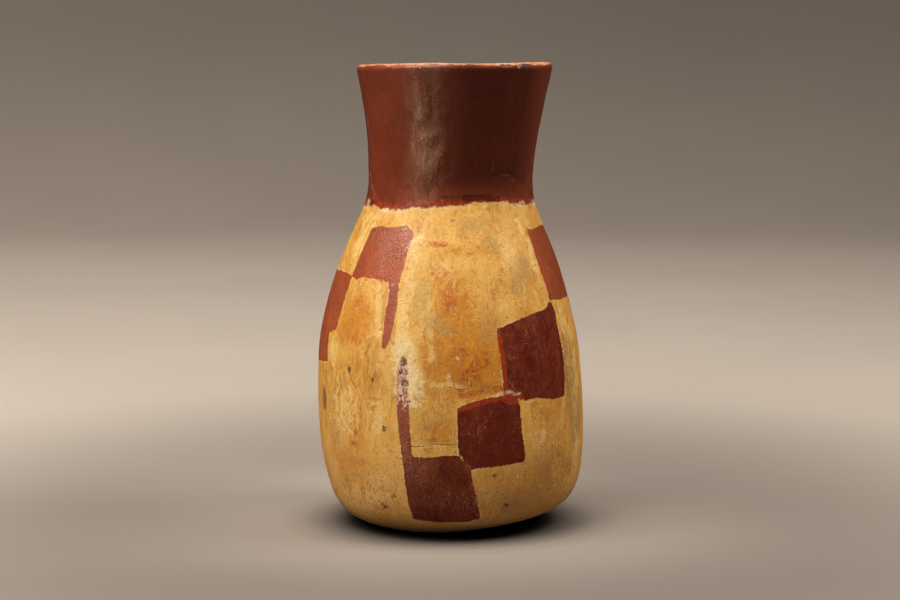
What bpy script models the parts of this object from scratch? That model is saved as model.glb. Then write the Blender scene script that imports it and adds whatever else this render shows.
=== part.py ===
"""A hand-built fired clay jug: a pear-shaped body under a tall flaring collar, with no handle.

Metres, +Z up. The origin is on the flat spot that the jug rests on, under its axis.
The painted face of the jug looks along -Y.
"""

import math

import bmesh
import bpy
import numpy as np

# Sizes that can be set by themselves
HEIGHT = 0.1812  # surface it stands on to the lip
REST_WIDTH = 0.0530  # flat spot underneath
BELLY_WIDTH = 0.1054  # widest part of the body
NECK_WIDTH = 0.0652  # narrowest part, under the collar
RIM_WIDTH = 0.0772  # outside of the flared lip
BODY_WALL = 0.0050  # clay in the body
COLLAR_WALL = 0.0042  # clay in the collar
LIP_WALL = 0.0036  # clay where the lip starts to round over
FLOOR_WALL = 0.0062  # clay under the hollow

# Landmarks of the free form, as shares of the height
BELLY_AT = 0.234
NECK_AT = 0.742
RIM_AT = 0.988

# Heel: share of the way up to the belly, and share of the swell from flat spot to belly
HEEL = ((0.03, 0.184), (0.07, 0.384), (0.13, 0.587), (0.215, 0.745), (0.31, 0.839), (0.44, 0.909), (0.64, 0.966))
# Shoulder: share of the way from belly up to neck, and share of the swell that is left
SHOULDER = ((0.17, 0.985), (0.33, 0.93), (0.47, 0.795), (0.61, 0.61), (0.73, 0.405), (0.83, 0.205), (0.915, 0.055))
# Collar: share of the way from neck up to rim, and share of the flare that is reached
COLLAR = ((0.2, 0.06), (0.42, 0.205), (0.7, 0.535))

# Unevenness of a pot built by hand
DRIFT = ((0.0, -0.0053), (0.008, -0.0042), (0.02, -0.0021), (0.033, -0.0004), (0.053, 0.0008), (0.08, 0.0013),
         (0.16, 0.0009), (0.26, 0.0002), (0.44, -0.0007), (0.6, -0.0004), (0.76, 0.0003), (0.9, 0.0014), (1.0, 0.0019))
SHALLOW = 0.988  # front-to-back width over side-to-side width
SIDE_SWING = 0.0008  # how far the front and back swell off the turned shape
LIP_WAVE = 0.0004  # how far the lip rises and falls
LIP_TIP = 0.0010  # how much higher the lip stands in front, and lower behind

# Fineness of the mesh
SEGMENTS = 72
LIP_STEPS = 6


def through(stations, at):
    """Cubic curve through (position, value) stations, with central slopes, read at a position."""
    x, y = np.array(stations).T
    slope = np.gradient(y, x)
    i = int(np.clip(np.searchsorted(x, at) - 1, 0, len(x) - 2))
    step = x[i + 1] - x[i]
    t = (at - x[i]) / step
    stay = (1 + 2 * t) * (1 - t) ** 2 * y[i] + t * t * (3 - 2 * t) * y[i + 1]
    turn = t * (1 - t) ** 2 * slope[i] - t * t * (1 - t) * slope[i + 1]
    return float(stay + turn * step)


def outline_stations():
    """(height, outer radius) stations from the flat spot to the rim."""
    belly, neck, rim = (share * HEIGHT for share in (BELLY_AT, NECK_AT, RIM_AT))
    rest_r, belly_r, neck_r, rim_r = (w / 2 for w in (REST_WIDTH, BELLY_WIDTH, NECK_WIDTH, RIM_WIDTH))
    found = [(0.0, rest_r)]
    found += [(t * belly, rest_r + s * (belly_r - rest_r)) for t, s in HEEL]
    found += [(belly, belly_r)]
    found += [(belly + t * (neck - belly), neck_r + s * (belly_r - neck_r)) for t, s in SHOULDER]
    found += [(neck, neck_r)]
    found += [(neck + t * (rim - neck), neck_r + s * (rim_r - neck_r)) for t, s in COLLAR]
    return found + [(rim, rim_r)]


def heights():
    """Heights of the rings: close together at the heel, even above it."""
    belly, rim = BELLY_AT * HEIGHT, RIM_AT * HEIGHT
    low = [belly * (i / 12) ** 1.7 for i in range(1, 12)]
    high = [belly + (rim - belly) * i / 20 for i in range(21)]
    return low + high


def wall_at(share):
    """Thickness of the clay at a share of the height."""
    floor_to_body = ((0.0, FLOOR_WALL), (0.12, BODY_WALL), (0.6, BODY_WALL))
    body_to_lip = ((0.8, COLLAR_WALL), (1.0, LIP_WALL))
    return float(np.interp(share, *np.array(floor_to_body + body_to_lip).T))


def profile():
    """(radius, height) points: up the outside, over the lip, down the inside to the floor."""
    stations = outline_stations()
    outer = [(through(stations, z), z) for z in heights()]
    outer = [(REST_WIDTH / 2 * 0.5, 0.0), (REST_WIDTH / 2, 0.0)] + outer
    points = np.array(outer)
    along = np.gradient(points, axis=0)
    along /= np.linalg.norm(along, axis=1, keepdims=True)
    inward = np.stack([-along[:, 1], along[:, 0]], axis=1)
    inward[:2] = (0.0, 1.0)
    walls = np.array([wall_at(z / HEIGHT) for z in points[:, 1]])
    inner = points + inward * walls[:, None]
    top_out, top_in = points[-1], inner[-1]
    middle = (top_out + top_in) / 2
    arm = (top_out - top_in) / 2
    up = np.array([0.0, HEIGHT - middle[1]])
    turns = [math.pi * k / LIP_STEPS for k in range(1, LIP_STEPS)]
    lip = [middle + arm * math.cos(a) + up * math.sin(a) for a in turns]
    inside = inner[::-2]
    return [(0.0, 0.0), *map(tuple, points), *map(tuple, lip), *map(tuple, inside), (0.0, FLOOR_WALL)]


def uneven(x, y, z):
    """Moves a point of the turned shape to where the hand-built wall is."""
    share = min(max(z / HEIGHT, 0.0), 1.0)
    turn = math.atan2(y, x)
    reach = min(math.hypot(x, y) / (BELLY_WIDTH / 2), 1.0)
    bulge = SIDE_SWING * reach * math.sin(turn) ** 2 * math.sin(3 * turn + 5 * share)
    x += through(DRIFT, share) + bulge * math.cos(turn)
    y = y * SHALLOW + bulge * math.sin(turn)
    wave = LIP_WAVE * (math.cos(turn) + 0.5 * math.sin(3 * turn + 1.0)) - LIP_TIP * math.sin(turn)
    z += wave * share**6
    return x, y, z


def clay():
    material = bpy.data.materials.new("burnished_slip")
    material.use_nodes = True
    shader = material.node_tree.nodes["Principled BSDF"]
    shader.inputs["Base Color"].default_value = (0.50, 0.24, 0.075, 1.0)
    shader.inputs["Roughness"].default_value = 0.42
    shader.inputs["Metallic"].default_value = 0.0
    return material


def build_jug():
    """The jug: one closed clay wall, turned from its profile and then made uneven."""
    shape = bmesh.new()
    points = [shape.verts.new((r, 0.0, z)) for r, z in profile()]
    edges = [shape.edges.new(pair) for pair in zip(points, points[1:])]
    bmesh.ops.spin(
        shape,
        geom=points + edges,
        cent=(0, 0, 0),
        axis=(0, 0, 1),
        angle=2 * math.pi,
        steps=SEGMENTS,
        use_merge=True,
    )
    bmesh.ops.remove_doubles(shape, verts=shape.verts, dist=1e-6)
    for vert in shape.verts:
        vert.co = uneven(*vert.co)
    bmesh.ops.recalc_face_normals(shape, faces=shape.faces)
    mesh = bpy.data.meshes.new("jug")
    shape.to_mesh(mesh)
    shape.free()
    mesh.shade_smooth()
    mesh.set_sharp_from_angle(angle=math.radians(40))
    jug = bpy.data.objects.new("jug", mesh)
    jug.data.materials.append(clay())
    bpy.context.scene.collection.objects.link(jug)
    return jug


for leftover in list(bpy.data.objects):
    bpy.data.objects.remove(leftover)

build_jug()
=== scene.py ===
"""A hand-built clay jug: dark red collar over a tan body with red stepped blocks, in a plain studio."""

import math

import bpy
import numpy as np
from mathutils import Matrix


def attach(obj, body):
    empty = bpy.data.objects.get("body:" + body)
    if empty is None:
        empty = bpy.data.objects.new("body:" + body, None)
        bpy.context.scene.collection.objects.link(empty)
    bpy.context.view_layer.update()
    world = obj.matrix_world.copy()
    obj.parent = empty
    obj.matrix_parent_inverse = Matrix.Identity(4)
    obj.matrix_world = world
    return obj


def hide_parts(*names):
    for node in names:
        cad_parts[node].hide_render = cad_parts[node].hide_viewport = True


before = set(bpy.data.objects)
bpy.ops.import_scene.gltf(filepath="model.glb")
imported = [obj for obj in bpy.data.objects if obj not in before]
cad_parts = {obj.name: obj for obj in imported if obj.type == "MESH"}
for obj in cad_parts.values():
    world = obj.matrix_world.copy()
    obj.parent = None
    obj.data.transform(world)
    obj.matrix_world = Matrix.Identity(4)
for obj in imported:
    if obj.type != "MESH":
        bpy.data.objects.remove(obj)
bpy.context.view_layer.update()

# The clay wall.
# One fired wall, built up by hand from coils: a pear-shaped body on a small foot, a narrow neck, and a
# collar that flares to a rounded lip. Inside it is hollow down to a thick floor.

# Sizes in metres
HEIGHT = 0.1812
REST_WIDTH, BELLY_WIDTH, NECK_WIDTH, RIM_WIDTH = 0.0530, 0.1054, 0.0652, 0.0772
BODY_WALL, COLLAR_WALL, LIP_WALL, FLOOR_WALL = 0.0050, 0.0042, 0.0036, 0.0062
BELLY_Z, NECK_Z, RIM_Z = 0.234 * HEIGHT, 0.742 * HEIGHT, 0.988 * HEIGHT

# Shares of the way up to the next landmark, and of the change of radius on the way there
HEEL = ((0.03, 0.184), (0.07, 0.384), (0.13, 0.587), (0.215, 0.745), (0.31, 0.839), (0.44, 0.909),
        (0.64, 0.966))
SHOULDER = ((0.17, 0.985), (0.33, 0.93), (0.47, 0.795), (0.61, 0.61), (0.73, 0.405), (0.83, 0.205),
            (0.915, 0.055))
COLLAR = ((0.2, 0.06), (0.42, 0.205), (0.7, 0.535))

# Sideways lean of the hand-built wall in metres, by share of the height
DRIFT = ((0.0, -0.0053), (0.008, -0.0042), (0.02, -0.0021), (0.033, -0.0004), (0.053, 0.0008),
         (0.08, 0.0013), (0.16, 0.0009), (0.26, 0.0002), (0.44, -0.0007), (0.6, -0.0004), (0.76, 0.0003),
         (0.9, 0.0014), (1.0, 0.0019))
SHALLOW = 0.988  # front-to-back width over side-to-side width
SIDE_SWING = 0.0008  # how far the front and back swell off the turned shape
LIP_WAVE = 0.0004  # how far the lip rises and falls
LIP_TIP = 0.0010  # how much higher the lip stands in front, and lower behind

# Fineness of the mesh
ROUND = 400  # columns round the jug
FOOT_ROWS, WALL_ROWS, LIP_ROWS, HOLLOW_ROWS, FLOOR_ROWS = 6, 188, 12, 32, 6
OUTLINE_STEPS = 3000  # points up the outline, before they are spaced evenly


def smooth_curve(stations, at):
    """Cubic curve through (position, value) stations, with central slopes, read at these positions."""
    x, y = np.array(stations).T
    slope = np.gradient(y, x)
    i = np.clip(np.searchsorted(x, at) - 1, 0, len(x) - 2)
    step = x[i + 1] - x[i]
    t = (at - x[i]) / step
    stay = (1 + 2 * t) * (1 - t) ** 2 * y[i] + t * t * (3 - 2 * t) * y[i + 1]
    swing = t * (1 - t) ** 2 * slope[i] - t * t * (1 - t) * slope[i + 1]
    return stay + swing * step


def steps_along(path):
    """Length of the path walked at each of its points."""
    return np.concatenate([[0], np.cumsum(np.linalg.norm(np.diff(path, axis=0), axis=1))])


def even_steps(path, count):
    """The path as count points that lie the same distance apart along it."""
    along = steps_along(path)
    at = np.linspace(0, along[-1], count)
    return np.stack([np.interp(at, along, path[:, 0]), np.interp(at, along, path[:, 1])], axis=1)


def wall_path():
    """(radius, height) rows from the foot's middle up the outside, over the lip and down the inside."""
    rest, belly, neck, rim = (width / 2 for width in (REST_WIDTH, BELLY_WIDTH, NECK_WIDTH, RIM_WIDTH))
    stations = [(0, rest)] + [(t * BELLY_Z, rest + s * (belly - rest)) for t, s in HEEL]
    stations += [(BELLY_Z, belly)]
    stations += [(BELLY_Z + t * (NECK_Z - BELLY_Z), neck + s * (belly - neck)) for t, s in SHOULDER]
    stations += [(NECK_Z, neck)]
    stations += [(NECK_Z + t * (RIM_Z - NECK_Z), neck + s * (rim - neck)) for t, s in COLLAR]
    stations += [(RIM_Z, rim)]
    z = np.linspace(0, RIM_Z, OUTLINE_STEPS)
    outside = np.stack([smooth_curve(stations, z), z], axis=1)
    along = np.gradient(outside, axis=0)
    along /= np.linalg.norm(along, axis=1, keepdims=True)
    walls = ((0, FLOOR_WALL), (0.12, BODY_WALL), (0.6, BODY_WALL), (0.8, COLLAR_WALL), (1, LIP_WALL))
    thick = np.interp(z / HEIGHT, *np.array(walls).T)
    hollow = outside + np.stack([-along[:, 1], along[:, 0]], axis=1) * thick[:, None]
    hollow = hollow[hollow[:, 1] >= FLOOR_WALL]
    middle, arm = (outside[-1] + hollow[-1]) / 2, (outside[-1] - hollow[-1]) / 2
    over = np.linspace(0, math.pi, LIP_ROWS + 2)[1:-1, None]
    lip = middle + arm * np.cos(over) + np.array([[0, HEIGHT - middle[1]]]) * np.sin(over)
    foot = np.stack([np.linspace(0, rest, FOOT_ROWS + 1)[:-1], np.zeros(FOOT_ROWS)], axis=1)
    inner_radius = np.linspace(hollow[0, 0], 0, FLOOR_ROWS + 1)[1:]
    floor = np.stack([inner_radius, np.full(FLOOR_ROWS, FLOOR_WALL)], axis=1)
    outside, hollow = even_steps(outside, WALL_ROWS), even_steps(hollow[::-1], HOLLOW_ROWS)
    return np.concatenate([foot, outside, lip, hollow, floor])


# The grid of the wall: rows along the path and columns round the jug. From here on, small things are in
# mm up, mm past the lip, and degrees from the front, growing to the right as the painted face is looked at.
MM = 1000  # in a metre
path = wall_path()
walked = steps_along(path)
lip_row = FOOT_ROWS + WALL_ROWS + LIP_ROWS // 2
turn = np.linspace(-180, 180, ROUND, endpoint=False)[None, :]
height = path[:, 1:2] * MM
past_lip = (walked - walked[lip_row])[:, None] * MM
GRID = np.broadcast_shapes(turn.shape, height.shape)
MM_PER_DEGREE = 0.86  # of turn, on the body's average width
FAR, TINY = 1e9, 1e-9  # further than anything, and a length to divide by in place of none


def hand_built(radius, up, bearing):
    """Turned point moved to the leaning wall: drift by height, swell in front and behind, tipped lip."""
    share = np.clip(up / HEIGHT, 0, 1)
    reach = np.minimum(radius / (BELLY_WIDTH / 2), 1)
    swell = SIDE_SWING * reach * np.sin(bearing) ** 2 * np.sin(3 * bearing + 5 * share)
    x = radius * np.cos(bearing) + smooth_curve(DRIFT, share) + swell * np.cos(bearing)
    y = radius * np.sin(bearing) * SHALLOW + swell * np.sin(bearing)
    wave = LIP_WAVE * (np.cos(bearing) + 0.5 * np.sin(3 * bearing + 1.0)) - LIP_TIP * np.sin(bearing)
    z = up + wave * share**6
    return np.stack(np.broadcast_arrays(x, y, z), axis=-1)


def soft_noise(cells_round, cells_up, seed):
    """Smooth noise from -1 to 1 that closes round the jug: a lattice of random values and eases between."""
    lattice = np.random.default_rng(seed).uniform(-1, 1, (cells_up + 2, cells_round))
    u = (turn + 180) / 360 * cells_round
    v = np.clip(height / (HEIGHT * MM), 0, 1) * cells_up
    i, j = np.floor(u).astype(int), np.floor(v).astype(int)
    fu, fv = u - i, v - j
    fu, fv = fu * fu * (3 - 2 * fu), fv * fv * (3 - 2 * fv)
    i, after = i % cells_round, (i + 1) % cells_round
    low = lattice[j, i] * (1 - fu) + lattice[j, after] * fu
    high = lattice[j + 1, i] * (1 - fu) + lattice[j + 1, after] * fu
    return low * (1 - fv) + high * fv


def across_from(at_turn):
    """Mm round the wall from this many degrees, the short way, positive to the right."""
    return ((turn - at_turn + 180) % 360 - 180) * MM_PER_DEGREE


def spot(at_turn, at_height, wide, tall):
    """Soft spot, falling off as a bell curve: its middle in degrees and mm, half width and height in mm."""
    return np.exp(-((across_from(at_turn) / wide) ** 2) - ((height - at_height) / tall) ** 2)


def stroke(points, wide):
    """Soft line of this width in mm along (degrees, mm) points: a bell curve of the distance to it."""
    near = np.full(GRID, FAR)
    for (turn_a, up_a), (turn_b, up_b) in zip(points, points[1:]):
        across = across_from(turn_a)
        run, rise = (turn_b - turn_a) * MM_PER_DEGREE, up_b - up_a
        t = np.clip((across * run + (height - up_a) * rise) / (run * run + rise * rise), 0, 1)
        near = np.minimum(near, np.hypot(across - t * run, height - up_a - t * rise))
    return np.exp(-((near / wide) ** 2))


def marks(spots, strokes=()):
    """Sum of soft spots (strength, *spot) and of soft lines (strength, width, *points)."""
    total = sum(strength * spot(*shape) for strength, *shape in spots)
    return total + sum(strength * stroke(points, wide) for strength, wide, *points in strokes)


# Dents and burnishing facets, in mm, cut inwards so that the wall stays inside its box
relief = 0.16 * (soft_noise(9, 6, 3) - 1) + 0.07 * (soft_noise(22, 13, 4) - 1)
relief += 0.022 * soft_noise(96, 7, 5) + 0.018 * soft_noise(60, 30, 6)
# Dimples that the pebble left in the collar, finest where it shines
collar_zone = np.clip((height - 124) / 10, 0, 1)
relief += collar_zone * (0.09 * soft_noise(40, 26, 11) + 0.06 * soft_noise(88, 60, 12) - 0.15)
relief += 0.06 * spot(-18, 160, 7, 40) * (soft_noise(180, 130, 13) - 1)
# Small damage: the worn top of the thin red line with a lump of slip beside it, chips, the low crack, a
# scrape between two blocks, and brush furrows at the collar's foot
relief -= marks(
    [(0.30, -18.5, 64, 3.2, 9), (0.45, -19.0, 70.5, 1.3, 1.6), (0.5, -18.6, 62.5, 1.6, 1.9),
     (0.30, -18.0, 57.5, 1.3, 1.2), (-0.22, -14.0, 62, 1.6, 5.5), (0.5, -47.5, 65.2, 1.5, 1.6),
     (0.35, -6.5, 40.6, 1.0, 0.9)],
    [(0.25, 0.8, (-47, 64), (-43, 59.5)), (0.25, 0.6, (-16, 39.4), (-6.5, 39.9), (3, 38.4)),
     (0.2, 1.3, (0, 62), (9, 60), (21, 59)), (0.15, 1.0, (4, 57.5), (16, 57)),
     (0.3, 1.0, (30, 138), (42, 139.2), (52, 137), (66, 133), (76, 129.6)),
     (0.25, 0.9, (-84, 137), (-70, 131.5), (-52, 128.4))])
# All of it fades out just under the lip and just above the foot, and the lip has its own nicks
LIP_FADE, FOOT_FADE, LIP_REACH = 2.5, 4, 3.0  # mm
relief *= np.clip(-past_lip / LIP_FADE, 0, 1) * np.clip((height - 0.2) / FOOT_FADE, 0, 1)
lip_damage = 0.20 * (soft_noise(26, 40, 8) - 0.6) - 0.6 * spot(39.5, 180, 1.0, 3.0)
relief += lip_damage * np.clip(1 - np.abs(past_lip) / LIP_REACH, 0, 1)

shell = hand_built(path[:, :1], path[:, 1:], np.radians(turn - 90))
slope_up = np.gradient(shell, axis=0)
slope_round = (np.roll(shell, -1, axis=1) - np.roll(shell, 1, axis=1)) / 2
outward = np.cross(slope_round, slope_up)
outward /= np.maximum(np.linalg.norm(outward, axis=-1, keepdims=True), TINY)
shell = shell + outward * relief[..., None] / MM

# The slip.
# The whole outside was coated in tan slip, and the collar and the stepped blocks were brushed over it in
# dark red before burnishing. Corners of the painted areas are in degrees round and mm up.
block_top = [(-54.5, 118.6), (-47, 119.6), (-38, 119.4), (-27.5, 120.4), (-22.5, 118.4), (-21.2, 116.3),
             (-23.5, 110.1), (-24, 104), (-25, 98.4), (-31, 99.6), (-38, 100.2), (-47.8, 100.7),
             (-52, 99.2), (-57.2, 100.2)]
block_side = [(-57.2, 100.6), (-70, 101.2), (-79, 101), (-92, 100.5), (-93, 84), (-92, 66), (-83, 64.9),
              (-65.2, 66.6), (-67, 78), (-60.2, 79.4), (-58.6, 88)]
drip_left = [(-31, 99), (-29.3, 96), (-29.5, 88), (-29.6, 80), (-29.8, 75.2), (-27.6, 74.9), (-26.2, 78),
             (-25, 83), (-24.2, 90), (-24.8, 98.6)]
block_high = [(53.8, 117.9), (61.8, 117.9), (73.8, 118.6), (86, 118.2), (87.5, 104), (87, 91.2),
              (78.2, 90.5), (66, 90.5), (57.2, 91.0), (55.2, 91.6), (55.8, 94), (54.4, 101), (53.2, 107)]
drip_right = [(82.5, 92), (83.5, 80), (84, 67), (87, 66.5), (87.5, 78), (87.2, 92)]
block_middle = [(22, 82.3), (29.2, 84.3), (41.5, 87), (51.2, 88.2), (54.2, 90.6), (56.7, 90.2),
                (58.2, 86.5), (57.8, 81), (58.8, 72), (58.9, 62), (57.7, 53.9), (49, 53.8), (39.2, 55.4),
                (35.5, 54.5), (28.5, 56), (23.4, 57.6), (23.6, 64), (23, 70)]
block_low = [(3.0, 53.4), (7.5, 54.9), (14.8, 56.6), (23.5, 57.4), (29.6, 56.3), (30.8, 52.3), (31.4, 43),
             (32.7, 33.0), (32.2, 31.2), (28.2, 31.1), (20.8, 30.3), (13.5, 30.2), (7.2, 29.8),
             (2.8, 36.6), (2.8, 48)]
block_foot = [(-16.5, 34.6), (-10.5, 34.2), (-4.2, 35.1), (2.4, 35.3), (5.5, 32.5), (7.6, 30.2), (9.0, 22),
              (10.6, 15.5), (13.6, 9.2), (7, 8.0), (1.2, 7.9), (-7.8, 7.8), (-18.3, 8.7), (-20.3, 14.8),
              (-20.6, 24), (-20.4, 30), (-21.2, 36.1)]
rise_line = [(-21.4, 70.4), (-19.4, 71.0), (-17.2, 70.4), (-17.1, 55.3), (-16.8, 45), (-16.5, 34),
             (-20.6, 30), (-21.8, 44), (-22.5, 56), (-22.2, 63.2)]

# Every painted area: its corners, how many degrees round it is carried, and how dense its paint is
PAINTED = [
    (block_top, 0, 0.20), (block_side, 0, 0.10), (drip_left, 0, 0.22),
    (block_high, 0, 0.36), (drip_right, 0, 0.36), (block_middle, 0, 0.92), (block_low, 0, 1.0),
    (block_foot, 0, 0.92), (rise_line, 0, 0.6),
    (block_low, -121.5, 0.7), (block_foot, -120.0, 0.8), (rise_line, -119.0, 0.6),
    (block_high, 125.5, 0.7), (block_middle, 124.2, 0.9), (block_low, 125.0, 0.85),
    (block_foot, 124.0, 0.7), (rise_line, 124.6, 0.6), (drip_left, -123.0, 0.6),
]


def inside_by(corners, carried):
    """Mm to the edge of a painted area, positive inside it: the nearest side, signed by crossings."""
    corners = [(a + carried, b) for a, b in corners]
    middle = sum(a for a, b in corners) / len(corners)
    across = across_from(middle)
    near = np.full(GRID, FAR)
    within = np.zeros(GRID, bool)
    for (turn_a, up_a), (turn_b, up_b) in zip(corners, corners[1:] + corners[:1]):
        ax, bx = (turn_a - middle) * MM_PER_DEGREE, (turn_b - middle) * MM_PER_DEGREE
        run, rise = bx - ax, up_b - up_a
        t = np.clip(((across - ax) * run + (height - up_a) * rise) / (run * run + rise * rise), 0, 1)
        near = np.minimum(near, np.hypot(across - ax - t * run, height - up_a - t * rise))
        crosses = (up_a > height) != (up_b > height)
        cut = ax + (height - up_a) * run / (rise if rise else TINY)
        within ^= crosses & (across < cut)
    return np.where(within, near, -near)


painted = np.full(GRID, -FAR)
slip_depth = np.zeros(GRID)
for corners, carried, dense in PAINTED:
    reach = inside_by(corners, carried)
    slip_depth = np.where(reach > painted, dense, slip_depth)
    painted = np.maximum(painted, reach)
painted += 0.10 * soft_noise(100, 50, 21)
# No block comes near the lip, nor inside
NO_BLOCK = -20.0  # mm
painted = np.where(past_lip > -2, NO_BLOCK, painted)

# The collar's red reaches down to a frayed line on the neck, and is brushed a short way down the inside
COLLAR_LINE = ((-180, 127.2), (-120, 126), (-76, 126.3), (-58, 126.8), (-46, 126), (-37, 125.5),
               (-24, 127), (-13, 127.8), (8, 127.8), (19, 129), (30, 129.3), (43, 128.3), (61, 127),
               (78, 127), (130, 126.2), (180, 127.2))
INNER_EDGE = 26  # mm past the lip
COLLAR_REACH = 30  # mm, the most that the map tells apart to each side of its edge
collar_edge = np.interp(turn, *np.array(COLLAR_LINE).T) + 0.2 * soft_noise(60, 3, 23)
inner_edge = INNER_EDGE + 2.0 * soft_noise(14, 2, 24)
collar = np.where(past_lip < 0, height - collar_edge, inner_edge - past_lip)
collar = np.clip(collar, -COLLAR_REACH, COLLAR_REACH)
bare = np.clip((past_lip - inner_edge) / 2, 0, 1)

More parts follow.
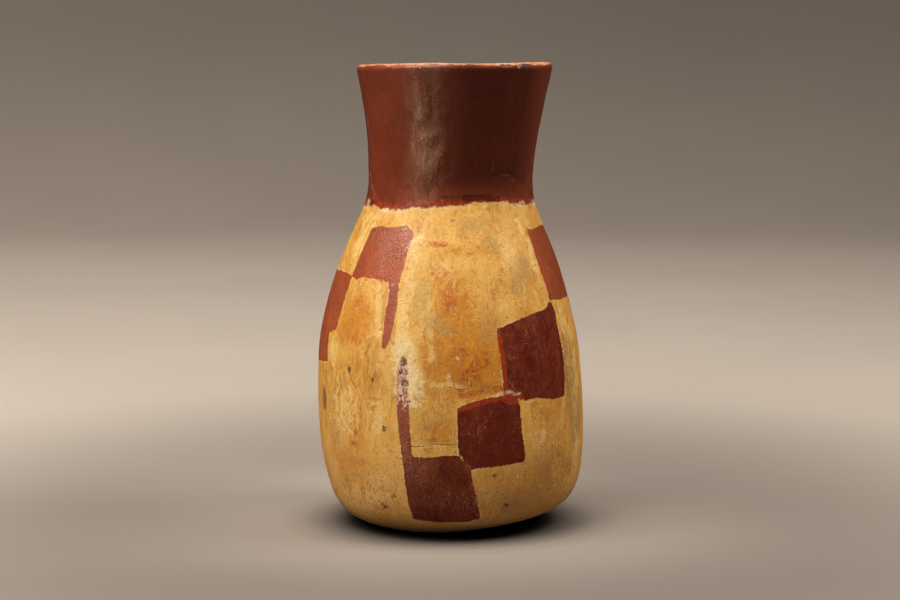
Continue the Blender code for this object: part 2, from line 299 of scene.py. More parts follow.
# How the dark red was brushed on, what use and burial left on the slip, and painted light and shade. Each
# map is a sum of soft spots (strength, degrees, mm up, half width, half height) and of soft lines
# (strength, width, points).
MARKS = {
    # Thin paint that glows orange, along some edges of the blocks
    "thin": (
        [(1, 29, 56, 3.5, 2.2), (0.5, -46, 111, 5, 2), (0.5, -32, 104, 5, 3)],
        [(0.9, 1.3, (-52, 100.6), (-39, 100.6), (-31, 99.2)),
         (1.1, 1.2, (22.6, 80), (24.0, 70), (24.4, 58)),
         (1.2, 1.4, (4, 53.4), (14, 55.9), (23, 56.9), (31, 55)),
         (0.8, 1.4, (53.6, 117), (54.6, 106), (56, 96)),
         (0.5, 1.0, (-26, 112), (-27, 96), (-28.4, 80))]),
    # The orange-red band over the collar's line
    "ember": (
        [],
        [(1, 1.4, (-180, 128.3), (-60, 127.8), (-45, 127), (-37, 126.6), (-24, 128), (-13, 128.8),
          (8, 128.9), (19, 130)),
         (0.8, 1.0, (19, 129.8), (30, 130.2), (43, 129.2), (61, 128), (180, 128.3)),
         (0.8, 1.2, (-76, 139), (-71, 134), (-62, 130), (-56, 127.6)),
         (0.5, 0.8, (44, 137), (52, 137), (66, 133), (76, 129.6))]),
    # Dark clots of paint in that band and just over it
    "clot": (
        [(0.7, -66, 128, 5, 0.8)],
        [(1.2, 0.9, (9, 130.8), (22, 131.0), (34, 129.8)), (0.7, 0.6, (-8, 131.4), (8, 131)),
         (0.5, 0.6, (31, 138), (52, 137), (66, 133), (80, 128.6))]),
    # Painted sheen: an olive-brown haze where the lamp's reflection lies on the collar, in front and behind
    "painted_sheen": (
        [(1, -17, 168, 5, 26), (0.7, -13, 142, 5, 9), (0.7, -150, 150, 8, 22)],
        []),
    # Where the pebble polished the red brightest
    "gloss": (
        [(0.9, -15.6, 152, 2.6, 2.6), (0.6, -26, 177, 3, 3), (0.9, -29, 112, 3.5, 4.5),
         (-0.9, -16, 157.5, 7, 2.6)],
        [(1.2, 2.1, (-20, 180), (-18, 172), (-16.5, 163)),
         (1.2, 3.0, (-6, 147), (-10, 142.5), (-15.5, 138.5), (-19, 135.5)),
         (0.7, 4.0, (160, 176), (163, 160), (160, 140))]),
    # Orange-brown stains
    "rust": (
        [(0.9, 8, 65.5, 4.5, 4), (0.9, 4.4, 73.5, 3, 3), (0.8, 14, 72, 3.4, 4), (0.45, -46.5, 90, 3.5, 6),
         (0.5, -43, 77, 8, 2.2), (0.55, 0.5, 93, 4, 5), (0.4, -5, 103, 7, 3), (1.1, -44, 41.5, 1.0, 1.6),
         (0.8, -45, 37, 2.4, 0.8), (0.45, -40, 30, 5, 1.5), (0.7, 53, 117, 2.5, 2), (0.35, 22, 95, 2, 6),
         (0.5, -33, 52, 3, 1.5), (0.5, 38, 52.5, 2.5, 1.2), (0.7, 150, 88, 6, 7), (0.6, -140, 60, 6, 7),
         (0.5, -170, 105, 7, 5), (0.6, 112, 60, 4, 6)],
        [(0.7, 1.0, (-11, 114.6), (-6, 113.4), (-2, 113.8)), (0.8, 1.3, (5, 57.8), (22, 60), (36, 56)),
         (0.6, 0.8, (24, 82), (23, 70))]),
    # Deeper yellow, where the tan is thick
    "ochre": (
        [(0.5, -54, 80, 6, 8), (0.3, -2, 103, 11, 6), (0.9, 2, 91, 9, 9), (0.9, 3, 76, 13, 8),
         (0.9, -45, 85, 8, 8), (1.3, 9, 69, 12, 10), (0.4, 38, 88, 6, 5), (0.5, -34, 64, 5, 6),
         (0.5, 10, 112, 16, 3), (0.5, -52, 30, 12, 4), (0.6, -4, 44, 7, 6), (0.5, 40, 24, 12, 6),
         (0.6, 45, 48, 8, 3), (0.8, 140, 85, 16, 18), (0.8, -150, 70, 16, 20), (0.6, 180, 40, 20, 10)],
        []),
    # Paler yellow, where it is thin or rubbed, with painted highlight down the body's left front
    "cream_and_highlight": (
        [(0.7, -60, 122, 14, 3), (0.5, 26, 90, 4, 4), (0.6, 34, 110, 6, 8), (0.6, -50, 14, 18, 8),
         (0.8, -15, 63, 3.6, 9), (1.0, -19, 74, 4.5, 5), (0.6, -24, 114, 4, 5), (0.45, -48, 50, 12, 16),
         (1.1, 68, 52, 5, 26), (0.5, -55, 46, 5, 10), (0.7, 62, 82, 2.4, 8), (0.9, -62, 112, 6, 7),
         (0.6, -31, 50, 3.5, 8), (0.5, 40, 40, 5, 6), (0.5, -2, 105, 8, 5), (0.6, -2, 62, 7, 1.2),
         (0.5, -30, 22, 8, 5), (0.6, -60, 72, 4, 6), (0.4, 50, 30, 8, 4), (0.7, 170, 112, 12, 7),
         (0.6, -120, 100, 7, 10), (0.6, 130, 50, 9, 9), (0.5, -170, 60, 9, 10)],
        [(0.9, 2.4, (-18, 116), (-19.5, 106), (-20, 92), (-20.5, 80)),
         (0.9, 1.6, (-36, 97), (-33, 88), (-32, 80)), (0.6, 1.6, (-9, 94), (-8, 82), (-7, 72)),
         (0.9, 2.2, (47, 121), (52, 112), (50, 104)), (0.5, 0.9, (0, 62), (9, 60.5), (21, 59.4))]),
    # Greyish green clouds
    "olive": (
        [(1, 41, 103.5, 5, 6), (0.8, 35, 97, 3.5, 4), (0.9, -11.5, 95.5, 2.6, 5), (0.9, -6, 85.5, 4, 3.4),
         (0.8, -0.5, 82, 3, 3), (0.45, -62, 52, 5, 12), (0.5, -58, 38, 7, 6), (0.6, 12, 121, 12, 3),
         (0.6, 18, 80, 5, 3), (0.7, 24, 114, 5, 5), (0.5, -33, 60, 3, 6), (0.7, -15, 90, 2, 9),
         (0.5, -50, 60, 3, 4), (0.5, 48, 44, 3, 6), (0.4, -46, 24, 8, 2), (0.7, 120, 75, 9, 11),
         (0.6, -160, 92, 8, 9), (0.5, 165, 60, 8, 12)],
        []),
    # Brown runs, most of them at the far right
    "stain": (
        [(0.5, 74, 50, 4, 12), (0.5, 61, 26, 5, 5), (0.45, 178, 28, 10, 8), (0.4, -150, 20, 9, 5)],
        [(0.7, 2.2, (61.5, 76), (60.8, 66), (61.4, 56), (63, 46), (65, 36)),
         (0.5, 3.0, (67, 74), (66, 58), (70, 38)), (0.5, 0.8, (61, 96), (61, 84), (60.5, 76)),
         (0.4, 3.0, (150, 118), (152, 100), (149, 84))]),
    # Painted shade on the lower right, where the body turns from the lamps, and dirt, most of it low down
    "shade_and_dirt": (
        [(0.4, 48, 13, 14, 7), (0.9, 46, 27, 15, 11), (0.8, 26, 17, 11, 8), (0.45, -7, 47, 7, 7),
         (0.35, 56, 60, 8, 10), (0.5, 20, 86, 5, 7), (0.35, -3, 80, 7, 7), (0.5, 160, 30, 20, 12),
         (0.3, -8, 6, 30, 5)],
        []),
    # Small dark pits and chips
    "pit": (
        [(1, -47.5, 65.2, 0.9, 1.5), (0.9, -33.5, 62.5, 0.8, 0.7), (1, -28.5, 44.5, 0.9, 1.1),
         (0.7, -6.5, 40.2, 0.8, 0.7), (0.9, -19.3, 70.6, 1.2, 2.0), (0.8, -20.5, 66.4, 1.0, 1.0),
         (0.7, -18.2, 66.8, 0.8, 0.6), (0.9, -18.8, 62.2, 1.5, 1.5), (0.8, -18.4, 58.8, 1.0, 1.3),
         (0.8, -17.4, 55.4, 1.1, 0.7), (0.5, 24, 14, 2.2, 1.6), (0.5, -33, 13, 2.6, 2.0),
         (0.7, 18, 27, 1.0, 1.2), (0.6, -27, 18, 1.2, 1.4), (0.6, -25, 73, 0.9, 0.8),
         (0.6, -13.5, 56.5, 1.0, 0.8)],
        [(0.5, 0.5, (-2, 61), (6, 59.6))]),
    # Whitish bloom, thickest at the worn top of the thin red line, with painted highlight there and by the
    # top block
    "bloom_and_highlight": (
        [(1.6, -19.2, 62.5, 3.0, 7.5), (1.5, -20, 74, 3.6, 5.5), (1.1, -13.5, 61, 2.4, 7),
         (0.8, 0, 65, 1, 1.4), (0.6, 4, 72, 0.6, 1.6), (0.6, -74, 127, 5, 2.2), (0.5, -46, 125.6, 6, 1.2),
         (0.7, 56, 127.6, 6, 1.1), (0.6, 78, 127.4, 8, 1.6), (0.5, 24, 127.6, 3, 1.0),
         (0.8, 36, 54.2, 1.8, 0.8), (0.5, -1, 62.6, 3, 0.8)],
        [(0.42, 1.6, (-24, 112), (-21.6, 115), (-15, 116.8)),
         (0.45, 0.7, (-77, 139), (-72, 134), (-64, 130)), (0.9, 0.6, (20, 57.6), (26, 58.6), (31, 57.2))]),
    # Red rubbed through to pinkish clay
    "scraped": (
        [(1, 27, 71.6, 0.9, 1.1), (0.8, 37, 64.7, 0.7, 0.7), (0.7, 16.5, 50, 1.6, 0.8),
         (0.7, 28, 61, 1.6, 3.0), (0.6, 13, 45, 1.6, 2.5), (0.5, -2, 18, 6, 5), (0.7, 6, 14, 4, 6),
         (0.4, -14, 28, 4, 6)],
        [(0.9, 0.9, (6, 32), (8.6, 24), (10, 16), (12, 11))]),
}

# A brown patch on the far left, with a firm edge
patch = np.clip(3 * spot(-69, 51.5, 2.2, 4.6) - 0.6, 0, 1)
# Painted shade: the collar's red darkens over the right of the front, away from the main lamp, and behind
collar_shade = np.clip((turn + 50) / 60, 0, 1) * np.clip((82 - turn) / 34, 0, 1) + 0.8 * spot(170, 155, 24, 60)
collar_shade = collar_shade * np.clip((height - 126) / 12, 0.3, 1)

# Thin dark cracks, and thin bright scratches
CRACKS = [[(-17, 38.2), (-11, 38.6), (-6.5, 39.6), (-1, 39.2), (3, 39.9)],
          [(-48.5, 67), (-47, 63.5), (-45.4, 61.4), (-43, 59)],
          [(30, 138.2), (38, 139.4), (46, 138.6), (56, 135.4), (66, 132), (76, 128.6)],
          [(-2, 61.6), (4, 60.2), (10, 60.8)], [(-72, 134), (-64, 129.6), (-58, 128)],
          [(-118, 50), (-112, 53), (-108, 52)]]
SCRATCHES = [[(11.2, 42.6), (11.5, 44.8), (13.4, 46.6), (15.6, 48.2)],
             [(12.2, 45.6), (13.6, 45.2), (15.2, 46.3)], [(12.1, 41.2), (11.5, 39.6)],
             [(26, 62.6), (28.6, 59.4), (31.4, 57.6)], [(35.4, 79), (37.6, 80.2)],
             [(-75, 137), (-72, 132.6), (-66, 129.4)], [(-7.4, 147.4), (-10.6, 143.4), (-13.4, 140.8)],
             [(-9, 143.2), (-11.4, 140.2)], [(-13, 138.2), (-16.6, 136.4)],
             [(60, 113), (62, 106), (64, 101)], [(-43.6, 111), (-40.6, 110)],
             [(-34, 108.6), (-31.8, 110.6)], [(140, 62), (143, 59.6), (145, 55)]]
LINE_REACH = 9.0  # mm, the most that the map tells apart beside a line


def line_offset(lines):
    """Signed mm to the nearest of these lines, so that it crosses zero sharply between grid points."""
    off = np.full(GRID, LINE_REACH)
    for points in lines:
        last = len(points) - 2
        for k, ((turn_a, up_a), (turn_b, up_b)) in enumerate(zip(points, points[1:])):
            across = across_from(turn_a)
            run, rise = (turn_b - turn_a) * MM_PER_DEGREE, up_b - up_a
            t = (across * run + (height - up_a) * rise) / (run * run + rise * rise)
            beyond = ((t < 0) & (k == 0)) | ((t > 1) & (k == last))
            t = np.clip(t, 0, 1)
            reach = np.hypot(across - t * run, height - up_a - t * rise)
            side = np.where(beyond | (across * rise > (height - up_a) * run), 1.0, -1.0)
            off = np.where(reach < np.abs(off), reach * side, off)
    return off


def closed_shell(name, rows, values):
    """Mesh of a grid of rows round an axis, both end rows drawn to a point, with a value per grid point."""
    count, around = rows.shape[:2]
    grid = np.arange((count - 2) * around).reshape(count - 2, around)
    nxt = np.roll(grid, -1, axis=1)
    quads = np.stack([grid[:-1], nxt[:-1], nxt[1:], grid[1:]], axis=-1).reshape(-1, 4)
    first, last = grid.size, grid.size + 1
    start = np.stack([np.full(around, first), nxt[0], grid[0]], axis=-1)
    end = np.stack([np.full(around, last), grid[-1], nxt[-1]], axis=-1)
    points = np.concatenate([rows[1:-1].reshape(-1, 3), rows[:1].mean(axis=1), rows[-1:].mean(axis=1)])
    mesh = bpy.data.meshes.new(name)
    mesh.from_pydata(points.tolist(), [], quads.tolist() + start.tolist() + end.tolist())
    for key, value in values.items():
        value = np.broadcast_to(value, rows.shape[:2])
        flat = np.concatenate([value[1:-1].ravel(), [value[0].mean(), value[-1].mean()]])
        mesh.attributes.new(key, "FLOAT", "POINT").data.foreach_set("value", flat.astype(np.float32))
    mesh.shade_smooth()
    mesh.update()
    piece = bpy.data.objects.new(name, mesh)
    bpy.context.scene.collection.objects.link(piece)
    return piece


fields = {"height": height, "past_lip": past_lip, "painted": painted, "slip_depth": slip_depth,
          "collar": collar, "bare": bare, "collar_shade": collar_shade, "patch": patch,
          "cracks": line_offset(CRACKS), "scratches": line_offset(SCRATCHES)}
fields.update({name: marks(spots, strokes) for name, (spots, strokes) in MARKS.items()})
jug = closed_shell("painted_jug", shell, fields)

slip = bpy.data.materials.new("burnished_slip")
slip.use_nodes = True
tree = slip.node_tree
shader = tree.nodes["Principled BSDF"]


def wire(kind, inputs=None, **settings):
    """Adds a node with these settings, and fills its named or numbered inputs with values or links."""
    made = tree.nodes.new(kind)
    for key, value in settings.items():
        setattr(made, key, value)
    for key, value in (inputs or {}).items():
        if isinstance(value, bpy.types.NodeSocket):
            tree.links.new(value, made.inputs[key])
        else:
            made.inputs[key].default_value = value
    return made


def field(name):
    """Value that the jug's surface carries under this name."""
    return wire("ShaderNodeAttribute", attribute_name=name).outputs["Fac"]


def calc(operation, a, b=0.0, clamp=False):
    """Sum, product, greatest or the like of two values or links, held from 0 to 1 if clamp is set."""
    return wire("ShaderNodeMath", {0: a, 1: b}, operation=operation, use_clamp=clamp).outputs[0]


def times(*amounts, clamp=False):
    """Product of these values or links."""
    product = amounts[0]
    for amount in amounts[1:]:
        product = calc("MULTIPLY", product, amount, clamp)
    return product


def weighed(*parts):
    """Sum of these (value, weight) parts."""
    total = times(*parts[0])
    for part in parts[1:]:
        total = calc("ADD", total, times(*part))
    return total


def ramp(value, low, high, start=0.0, end=1.0):
    """Eased step from start to end as the value goes from low to high."""
    ends = {"Value": value, "From Min": low, "From Max": high, "To Min": start, "To Max": end}
    return wire("ShaderNodeMapRange", ends, interpolation_type="SMOOTHSTEP").outputs["Result"]


def grain(scale, stretch=(1, 1, 1), detail=3.0, rough=0.55, distort=0.0, shift=(0, 0, 0)):
    """Noise of this many cells a metre on the piece's own place, squeezed along each axis by stretch."""
    at = wire("ShaderNodeMapping", {"Vector": place, "Location": shift, "Scale": stretch}).outputs[0]
    look = {"Vector": at, "Scale": scale, "Detail": detail, "Roughness": rough, "Distortion": distort}
    return wire("ShaderNodeTexNoise", look).outputs["Fac"]


def hair(scale, width, stretch=(1, 1, 1), distort=1.5, shift=(0, 0, 0)):
    """Thin wandering lines: 1 where a twisted noise crosses its middle value, 0 away from it."""
    off = calc("ABSOLUTE", calc("SUBTRACT", grain(scale, stretch, 2, 0.5, distort, shift), 0.5))
    return ramp(off, width, 0.0)


def dots(scale, edge, core):
    """Round dots, this many a metre: 0 beyond the edge's share of a cell, and 1 within the core's."""
    cells = wire("ShaderNodeTexVoronoi", {"Vector": place, "Scale": scale, "Randomness": 1.0})
    return ramp(cells.outputs["Distance"], edge, core)


def patchy(name, breaker, reach=0.4):
    """A map of marks, its soft edge broken up by a noise, so that it ends in flecks and not in a glow."""
    return ramp(times(field(name), ramp(breaker, 0.30, 0.70, 1 - 2 * reach, 1 + 2 * reach)), 0.22, 0.62)


def thin_line(name, core, edge, wander):
    """Line where a map crosses zero: full within the core's mm, gone at an edge that wanders out by mm."""
    outer = calc("ADD", edge, ramp(daubs, 0.35, 0.6, 0.0, wander))
    return ramp(calc("ABSOLUTE", field(name)), outer, core)


def tone(red, green, blue):
    """Colour from three 0-255 screen values, as the linear light that a shader takes."""
    def linear(c):
        return c / 12.92 if c <= 0.04045 else ((c + 0.055) / 1.055) ** 2.4
    return (*(linear(c / 255) for c in (red, green, blue)), 1.0)


def mix(factor, a, b, blend="MIX"):
    """Colour a, with colour b over it by this factor."""
    made = wire("ShaderNodeMix", {0: factor, 6: a, 7: b}, data_type="RGBA", blend_type=blend)
    return made.outputs[2]


def two_tone(noise, low, high, first, second):
    """Colour that goes from the first screen values to the second as the noise goes from low to high."""
    return mix(ramp(noise, low, high), tone(*first), tone(*second))


def laid(under, colour, *amounts):
    """Colour laid over what is under it, as densely as the product of these amounts."""
    return mix(times(*amounts), under, colour)


def dabbed(colour, dabs):
    """Colour under each (noise, low, high, most, screen values), laid on by an eased step of the noise."""
    for noise, low, high, most, dab in dabs:
        colour = laid(colour, tone(*dab), ramp(noise, low, high, 0, most))
    return colour


# Noises in the jug's own place, coarse to fine, most of them drawn out upright as the pebble moved
place = wire("ShaderNodeTexCoord").outputs["Object"]
clouds = grain(38, (1, 1, 0.6), 4, 0.6, 0.6)
mottle = grain(120, (1, 1, 0.55), 5, 0.7, 1.2, (0.5, 0.2, 0.1))
daubs = grain(260, (1, 1, 0.5), 4, 0.68, 1.6, (0.2, 0.7, 0.4))
strokes = grain(520, (1, 1, 0.16), 3, 0.6)
crumbs = grain(620, (1, 1, 0.8), 4, 0.7, 0.5, (0.1, 0.6, 0.3))
grit = grain(1300, (1, 1, 0.7), 3, 0.7, shift=(0.6, 0.1, 0.9))

# Where the paint is: the painted edges are frayed, and the collar's line is ragged too
fray = ramp(grain(900, detail=3, rough=0.65), 0.25, 0.75, -0.30, 0.30)
ragged = ramp(grain(240, (1, 1, 1.6), 4, 0.7, shift=(0.4, 0.4, 0.1)), 0.25, 0.75, -0.9, 0.9)
on_collar = ramp(calc("ADD", field("collar"), calc("ADD", ragged, fray)), -0.35, 0.35)
off_collar = calc("SUBTRACT", 1.0, on_collar)
on_block = ramp(calc("ADD", field("painted"), fray), -0.14, 0.14)

# Tan slip: patchy from cream to ochre, and stained
tan = two_tone(clouds, 0.36, 0.64, (238, 178, 80), (222, 154, 60))
tan = dabbed(tan, [
    (mottle, 0.52, 0.70, 0.65, (244, 198, 106)), (mottle, 0.46, 0.30, 0.65, (198, 132, 50)),
    (daubs, 0.54, 0.66, 0.55, (243, 195, 98)), (daubs, 0.46, 0.34, 0.55, (174, 118, 50)),
    (strokes, 0.52, 0.70, 0.45, (246, 204, 122))])
tan = laid(tan, two_tone(mottle, 0.35, 0.65, (228, 150, 34), (202, 126, 34)), patchy("ochre", daubs))
# Paler yellow, with painted highlight in it
tan = laid(tan, two_tone(crumbs, 0.4, 0.6, (249, 207, 124), (238, 186, 104)), patchy("cream_and_highlight", daubs), 0.85)
tan = laid(tan, tone(186, 149, 84), patchy("olive", daubs, 0.35), 0.5)
tan = laid(tan, tone(208, 106, 24), patchy("rust", daubs, 0.5), 0.75)
rust_heart = ramp(grain(420, detail=3, rough=0.65, shift=(0.7, 0.3, 0.2)), 0.52, 0.60)
tan = laid(tan, tone(148, 44, 16), times(field("rust"), rust_heart, clamp=True), 0.9)
# Browner and darker towards the foot; painted shade and dirt low down; brown runs
tan = laid(tan, tone(208, 150, 90), ramp(field("height"), 56, 4), ramp(mottle, 0.3, 0.7, 0.2, 0.65))
# Painted shade and dirt, most of it low on the right
tan = laid(tan, tone(152, 102, 50), times(field("shade_and_dirt"), ramp(mottle, 0.3, 0.7, 0.4, 0.75), clamp=True))
tan = laid(tan, tone(134, 84, 46), patchy("stain", daubs, 0.4), 0.55)
# Pale lines where it was left bare or scraped beside the blocks and under the collar
beside = times(ramp(field("painted"), -1.0, -0.2), ramp(grain(140, shift=(0.2, 0.8, 0.4)), 0.50, 0.62))
tan = laid(tan, tone(248, 212, 152), beside, 0.5)
under_collar = times(ramp(field("collar"), -2.6, -0.4), ramp(mottle, 0.40, 0.60))
tan = laid(tan, tone(244, 202, 128), under_collar, 0.7)

# Dark red slip: orange where it is thin, nearly brown-black where it is thick, darker at some edges
thick = calc("ADD", field("slip_depth"), ramp(mottle, 0.3, 0.7, -0.12, 0.12), True)
red = mix(thick, tone(190, 94, 52), tone(102, 28, 10))
red = dabbed(red, [
    (clouds, 0.4, 0.6, 0.30, (118, 38, 18)), (crumbs, 0.52, 0.72, 0.30, (80, 27, 16)),
    (daubs, 0.56, 0.72, 0.25, (168, 70, 36))])
red = laid(red, tone(184, 60, 24), patchy("thin", crumbs, 0.5), 0.7)
dark_rim = times(ramp(field("painted"), 0.8, 0.1), ramp(grain(110, shift=(0.6, 0.1, 0.7)), 0.50, 0.62))
red = laid(red, tone(64, 20, 12), dark_rim, 0.5)

# The collar's red: browner, with painted shade on its right and painted sheen on its left front, fine lines
# in it, and an orange-red band with dark clots at its foot
neck_red = two_tone(clouds, 0.38, 0.62, (136, 60, 33), (118, 49, 26))
neck_red = dabbed(neck_red, [
    (mottle, 0.50, 0.74, 0.40, (132, 54, 30)), (crumbs, 0.54, 0.72, 0.25, (84, 31, 18))])
# Painted shade over the collar's right
neck_red = laid(neck_red, tone(54, 16, 8), field("collar_shade"), ramp(clouds, 0.3, 0.7, 0.80, 0.66))
# Painted sheen on the collar
sheen_on_collar = times(field("painted_sheen"), ramp(mottle, 0.3, 0.7, 0.35, 0.65), clamp=True)
neck_red = laid(neck_red, tone(104, 70, 48), sheen_on_collar)
brush_line = times(hair(160, 0.010, (1, 1, 1), 3.0), ramp(mottle, 0.5, 0.62, 0, 0.20))
neck_red = laid(neck_red, tone(140, 66, 40), brush_line)
ember_tone = two_tone(crumbs, 0.38, 0.64, (140, 38, 22), (184, 74, 38))
neck_red = laid(neck_red, ember_tone, patchy("ember", daubs, 0.4), 0.75)
neck_red = laid(neck_red, tone(58, 16, 10), patchy("clot", daubs, 0.5), 0.75)

coat = mix(on_collar, mix(on_block, tan, red), neck_red)

# Crisp crumbs of yellow and of brown in the tan
bright_crumb = times(ramp(grit, 0.56, 0.66), ramp(daubs, 0.46, 0.58))
dark_crumb = times(ramp(grit, 0.44, 0.34), ramp(mottle, 0.56, 0.44))
coat = laid(coat, tone(252, 214, 124), bright_crumb, off_collar, ramp(on_block, 0, 1, 0.5, 0.06))
coat = laid(coat, tone(162, 94, 38), dark_crumb, off_collar, 0.30)

# Wear: hairlines, dark specks low down, pale dots, a patch, whitish bloom with painted highlight in it,
# pits, cracks and scratches
fine_hair = times(hair(260, 0.014, (1, 1, 0.6), 2.5, (0.6, 0.2, 0.3)), ramp(mottle, 0.56, 0.42))
coat = laid(coat, tone(158, 98, 44), fine_hair, off_collar, 0.25)
pale_hair = times(hair(210, 0.010, (1, 1, 0.7), 3.5, (0.3, 0.9, 0.1)), ramp(mottle, 0.46, 0.62))
on_tan = times(off_collar, ramp(on_block, 0, 1, 1, 0.2))
coat = laid(coat, tone(246, 212, 150), pale_hair, on_tan, 0.22)
speck = times(dots(600.0, 0.28, 0.12), ramp(grain(85, detail=4, rough=0.7), 0.44, 0.54))
speck = times(speck, ramp(field("height"), 80, 12, 0.12, 1.0))
coat = laid(coat, tone(106, 56, 26), speck, off_collar, 0.75)
pale_dot = times(dots(300.0, 0.12, 0.06), ramp(grain(120, shift=(0.8, 0.8, 0.2)), 0.52, 0.62))
coat = laid(coat, tone(232, 168, 120), pale_dot, ramp(on_collar, 0, 1, 1, 0.25), 0.5)
coat = laid(coat, tone(142, 86, 58), field("patch"), 0.85)
# Whitish bloom, partly painted highlight
bloom_and_highlight = patchy("bloom_and_highlight", crumbs, 0.45)
bloom_and_highlight_on_tan = two_tone(grit, 0.4, 0.6, (255, 234, 178), (240, 196, 132))
bloom_and_highlight_on_red = two_tone(grit, 0.4, 0.6, (252, 220, 190), (206, 142, 116))
coat = laid(coat, mix(calc("MAXIMUM", on_block, on_collar), bloom_and_highlight_on_tan, bloom_and_highlight_on_red), bloom_and_highlight, 0.85)
pit = times(patchy("pit", crumbs, 0.35), ramp(grit, 0.36, 0.52, 0.45, 1.0))
coat = laid(coat, tone(100, 48, 36), pit, 0.92)
crack = thin_line("cracks", 0.06, 0.12, 0.22)
coat = laid(coat, tone(96, 52, 26), crack, ramp(crumbs, 0.34, 0.5), 0.8)
scratch = thin_line("scratches", 0.03, 0.06, 0.14)
scratch_tone = mix(on_collar, tone(226, 128, 92), tone(176, 100, 72))
coat = laid(coat, scratch_tone, scratch, ramp(crumbs, 0.36, 0.52), 0.7)
coat = laid(coat, tone(196, 116, 80), times(field("scraped"), ramp(grit, 0.46, 0.58), clamp=True), 0.6)

# The lip: painted light, a bright red band to both sides of its ridge where the rounding catches the light;
# worn to pale clay on top, partly painted highlight; and bare clay inside
ridge = calc("ABSOLUTE", calc("ADD", field("past_lip"), -0.2))
lip_painted_light = times(ramp(ridge, 3.4, 1.4), ramp(mottle, 0.4, 0.6))
coat = laid(coat, tone(158, 52, 28), lip_painted_light, 0.75)
lip_wear_and_highlight = ramp(calc("ADD", ridge, ramp(grain(150, detail=3), 0.3, 0.7, -0.7, 0.7)), 1.7, 0.9)
coat = laid(coat, two_tone(crumbs, 0.42, 0.62, (236, 170, 122), (206, 112, 66)), lip_wear_and_highlight, 0.9)
coat = laid(coat, two_tone(mottle, 0.35, 0.65, (172, 120, 82), (140, 92, 62)), field("bare"))

# Burnished gloss: smoother on the red, smoothest where the pebble polished it, dull on the lip and inside
rough = calc("MINIMUM", ramp(on_block, 0, 1, 0.48, 0.33), ramp(on_collar, 0, 1, 0.9, 0.28))
rough = calc("SUBTRACT", rough, times(field("gloss"), ramp(mottle, 0.38, 0.58, 0.04, 0.15)))
rough = calc("ADD", rough, ramp(daubs, 0.34, 0.66, -0.06, 0.12))
rough = calc("SUBTRACT", rough, times(bloom_and_highlight, 0.22))
dull_clay = calc("MAXIMUM", times(field("bare"), 0.8), ramp(ridge, 3.0, 1.6, 0.0, 0.55))
rough = calc("MAXIMUM", rough, dull_clay)

# Fine unevenness in the gloss: dabs, crackle, pits and cracks, fainter on the collar but not in its shine
BUMP_DEPTH, BUMP_STRENGTH = 0.0006, 0.6
crackle = hair(130, 0.03, (1, 1, 1), 2.0, (0.7, 0.4, 0.1))
uneven = weighed((daubs, 0.7), (mottle, 0.7), (crumbs, 0.45), (crackle, -0.16))
uneven = times(uneven, calc("ADD", ramp(on_collar, 0, 1, 1.0, 0.35), times(field("gloss"), 0.3)))
pebbled = times(field("gloss"), weighed((crumbs, 0.9), (grit, 0.5)))
uneven = weighed((uneven, 1.0), (pebbled, 1.0), (pit, -0.6), (crack, -0.25))
bump = wire("ShaderNodeBump", {"Height": uneven, "Strength": BUMP_STRENGTH, "Distance": BUMP_DEPTH})

for socket, value in {"Base Color": coat, "Roughness": rough, "Normal": bump.outputs[0]}.items():
    tree.links.new(value, shader.inputs[socket])
shader.inputs["IOR"].default_value = 1.4

jug.data.materials.append(slip)
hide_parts("jug")
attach(jug, "root")

# The studio floor.
# A wide sheet of pale warm grey paper that lies flat under the jug and curves up all round it, far out.
# It shows in no reflection and casts no shadow, because one of the lamps reaches below it.
SWEEP_FLAT, SWEEP_OUT, SWEEP_TOP = 1.25, 2.3, 1.9
SWEEP_ROWS, SWEEP_ROUND = 24, 96
SWEEP_MIDDLE = 0.002  # radius of the small face in the middle


def dish(name):
    """Bowl of revolution: flat out to one radius, then a quarter of an ellipse up to its top edge."""
    flat = np.linspace(SWEEP_MIDDLE, SWEEP_FLAT, SWEEP_ROWS)
    swing = np.linspace(0, math.pi / 2, SWEEP_ROWS + 1)[1:]
    radius = np.concatenate([flat, SWEEP_FLAT + (SWEEP_OUT - SWEEP_FLAT) * np.sin(swing)])[:, None]
    up = np.concatenate([np.zeros(SWEEP_ROWS), SWEEP_TOP * (1 - np.cos(swing))])[:, None]
    around = np.linspace(0, 2 * math.pi, SWEEP_ROUND, endpoint=False)
    rows = np.stack(np.broadcast_arrays(radius * np.cos(around), radius * np.sin(around), up), axis=-1)
    grid = np.arange(rows.shape[0] * SWEEP_ROUND).reshape(-1, SWEEP_ROUND)
    nxt = np.roll(grid, -1, axis=1)
    quads = np.stack([grid[:-1], grid[1:], nxt[1:], nxt[:-1]], axis=-1).reshape(-1, 4)
    mesh = bpy.data.meshes.new(name)
    mesh.from_pydata(rows.reshape(-1, 3).tolist(), [], quads.tolist() + [grid[0].tolist()])
    mesh.shade_smooth()
    made = bpy.data.objects.new(name, mesh)
    bpy.context.scene.collection.objects.link(made)
    return made


floor = dish("studio_floor")
paper = bpy.data.materials.new("grey_paper")
paper.use_nodes = True
# The node functions above now work on the paper
tree = paper.node_tree
shader = tree.nodes["Principled BSDF"]
place = wire("ShaderNodeTexCoord").outputs["Object"]

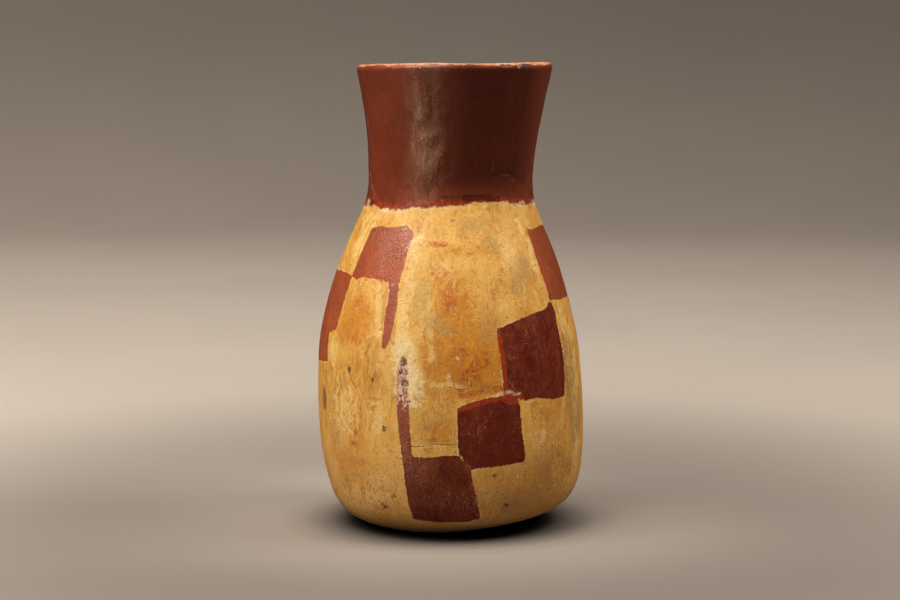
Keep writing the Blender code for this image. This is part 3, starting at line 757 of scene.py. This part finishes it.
# (metres from the middle, painted shade of the paper): a painted shadow right under the jug, and painted
# light that is palest a metre out
PAPER_PAINTED_SHADE = ((0.0, 0.012), (0.03, 0.012), (0.0425, 0.03), (0.05125, 0.38), (0.0625, 0.50), (0.075, 0.54),
                (0.125, 0.38), (0.1875, 0.41), (0.25, 0.53), (0.325, 0.69), (0.475, 0.76), (0.8, 0.86),
                (1.15, 0.95), (1.4, 0.76), (1.7, 0.48), (2.25, 0.34))
PAPER_REACH = 2.5  # metres from the middle to the end of those shades
BLACK = (0, 0, 0, 1)
from_middle = wire("ShaderNodeVectorMath", {0: place}, operation="LENGTH").outputs["Value"]
shade = wire("ShaderNodeValToRGB", {"Fac": times(from_middle, 1 / PAPER_REACH)})
shade.color_ramp.interpolation = "B_SPLINE"
stops = shade.color_ramp.elements
stops.remove(stops[1])
for metres, light in PAPER_PAINTED_SHADE:
    stop = stops.new(metres / PAPER_REACH) if metres else stops[0]
    stop.color = (light, light, light, 1)
paper_tone_and_shade = mix(ramp(grain(5, detail=4), 0.3, 0.7), (0.98, 0.83, 0.69, 1), (0.93, 0.79, 0.66, 1))
paper_tone_and_shade = mix(1.0, paper_tone_and_shade, shade.outputs["Color"], "MULTIPLY")
# Painted shade: it darkens towards the right, in front of the jug, and again towards the camera
side = wire("ShaderNodeSeparateXYZ", {0: place}).outputs
for axis, low, high, most in (("X", -0.9, 1.1, 0.38), ("Y", 0.08, -0.14, 0.28), ("Y", -0.25, -0.9, 0.40)):
    paper_tone_and_shade = laid(paper_tone_and_shade, BLACK, ramp(side[axis], low, high, 0.0, most))
tree.links.new(paper_tone_and_shade, shader.inputs["Base Color"])
shader.inputs["Roughness"].default_value = 0.9
shader.inputs["Specular IOR Level"].default_value = 0.0
floor.data.materials.append(paper)
floor.visible_glossy = floor.visible_shadow = False

# The light.
# A large soft lamp to the left of the camera and above it, lamps to both sides, a weak one to the right,
# one overhead, and dim room light.
AIM_UP = 0.09  # the jug's middle
LAMPS = (("left_front", -52, 50, 1.2, 0.90, 12.5), ("left_side", -84, 46, 1.2, 0.55, 3.2),
         ("right_side", 84, 46, 1.1, 0.50, 6.8), ("right_front", 40, 60, 1.3, 0.60, 1.0),
         ("overhead", 0, 82, 1.3, 1.00, 5.0))


def lamp(name, compass, above, away, size, watts, colour=(1, 0.97, 0.93)):
    """Square area light aimed at the jug's middle, this many degrees right, degrees up and metres off."""
    light = bpy.data.lights.new(name, "AREA")
    light.energy, light.size, light.color = watts, size, colour
    made = bpy.data.objects.new(name, light)
    a, e = math.radians(compass), math.radians(above)
    level = math.cos(e) * away
    made.location = (math.sin(a) * level, -math.cos(a) * level, AIM_UP + math.sin(e) * away)
    made.rotation_euler = (math.radians(90) - e, 0, a)
    bpy.context.scene.collection.objects.link(made)
    return made


for placed in LAMPS:
    lamp(*placed)
# A tall thin strip that leans to the left and reaches below the floor, and a small square high up. They
# only glint in the burnished clay.
strip = lamp("low_strip", -39.5, -4, 1.1, 0.07, 4.3, (1, 0.72, 0.43))
strip.data.shape, strip.data.size_y = "RECTANGLE", 0.85
strip.rotation_euler.rotate_axis("Z", math.radians(-16))
glint = lamp("high_glint", -54, 52, 1.2, 0.22, 11.0, (1, 0.80, 0.60))
for lone in (strip, glint):
    lone.visible_diffuse = lone.visible_camera = False

world = bpy.data.worlds.new("room")
world.use_nodes = True
room = world.node_tree.nodes["Background"]
room.inputs["Color"].default_value = (1.0, 0.96, 0.92, 1)
room.inputs["Strength"].default_value = 0.03
bpy.context.scene.world = world
bpy.context.scene.view_settings.view_transform = "Standard"

# The camera.
# It stands in front, a little above the lip, and looks down at the jug's middle through a long lens.
CAMERA_AWAY, CAMERA_UP, CAMERA_DOWN = 0.943, 0.2052, 7.09  # metres, metres, degrees
camera = bpy.data.objects.new("camera", bpy.data.cameras.new("camera"))
camera.data.lens, camera.data.sensor_width = 96, 36
camera.location = (0, -CAMERA_AWAY, CAMERA_UP)
camera.rotation_euler = (math.radians(90 - CAMERA_DOWN), 0, 0)
bpy.context.scene.collection.objects.link(camera)
bpy.context.scene.camera = camera
